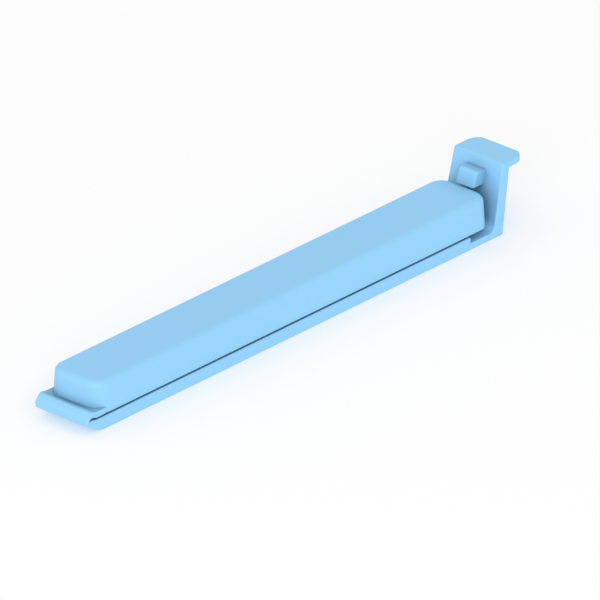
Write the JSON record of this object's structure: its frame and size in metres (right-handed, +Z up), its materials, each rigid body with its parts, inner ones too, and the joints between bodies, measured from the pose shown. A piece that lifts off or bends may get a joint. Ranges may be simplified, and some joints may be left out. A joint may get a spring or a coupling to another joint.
{
  "type": "bag clip",
  "caption": "Long snap-latch clip that seals a bag: jaws on a living hinge, an inner seal rib and lips, and a spring post with a catch and thumb lip.",
  "frame": {"origin": "middle of the clip's length and width, on the flat underside of the lower jaw", "axes": "+X along the jaws from the hinge nose to the thumb lip, +Y across the jaws, +Z up from the underside"},
  "size_m": [0.12, 0.013, 0.014],
  "materials": {
    "clip_plastic": "satin moulded polypropylene, light sky blue",
    "clip_plastic_inside": "plain moulded polypropylene, as it leaves the mould"
  },
  "bodies": {
    "lower_jaw": {"lower_jaw_bar": "clip_plastic", "lower_hinge_leaf": "clip_plastic", "seal_rib": "clip_plastic_inside", "living_hinge": "clip_plastic", "flexure_floor": "clip_plastic"},
    "upper_jaw": {"upper_jaw_shell": "clip_plastic", "upper_hinge_leaf": "clip_plastic", "seal_lips": "clip_plastic_inside", "stiffening_webs": "clip_plastic_inside"},
    "latch": {"post_foot": "clip_plastic", "latch_post": "clip_plastic", "latch_catch": "clip_plastic", "thumb_lip": "clip_plastic"}
  },
  "joints": [
    {"name": "jaw_hinge", "type": "hinge", "parent": "lower_jaw", "child": "upper_jaw", "pos_m": [-0.05945, 0, 0.00305], "axis": [0, -1, 0], "range_deg": [0, 135], "deforming": ["living_hinge"]},
    {"name": "latch_flex", "type": "hinge", "parent": "lower_jaw", "child": "latch", "pos_m": [0.04695, 0, 0.0007], "axis": [0, 1, 0], "range_deg": [0, 8], "stiffness_Nm_per_rad": 0.9, "deforming": ["flexure_floor"]}
  ]
}
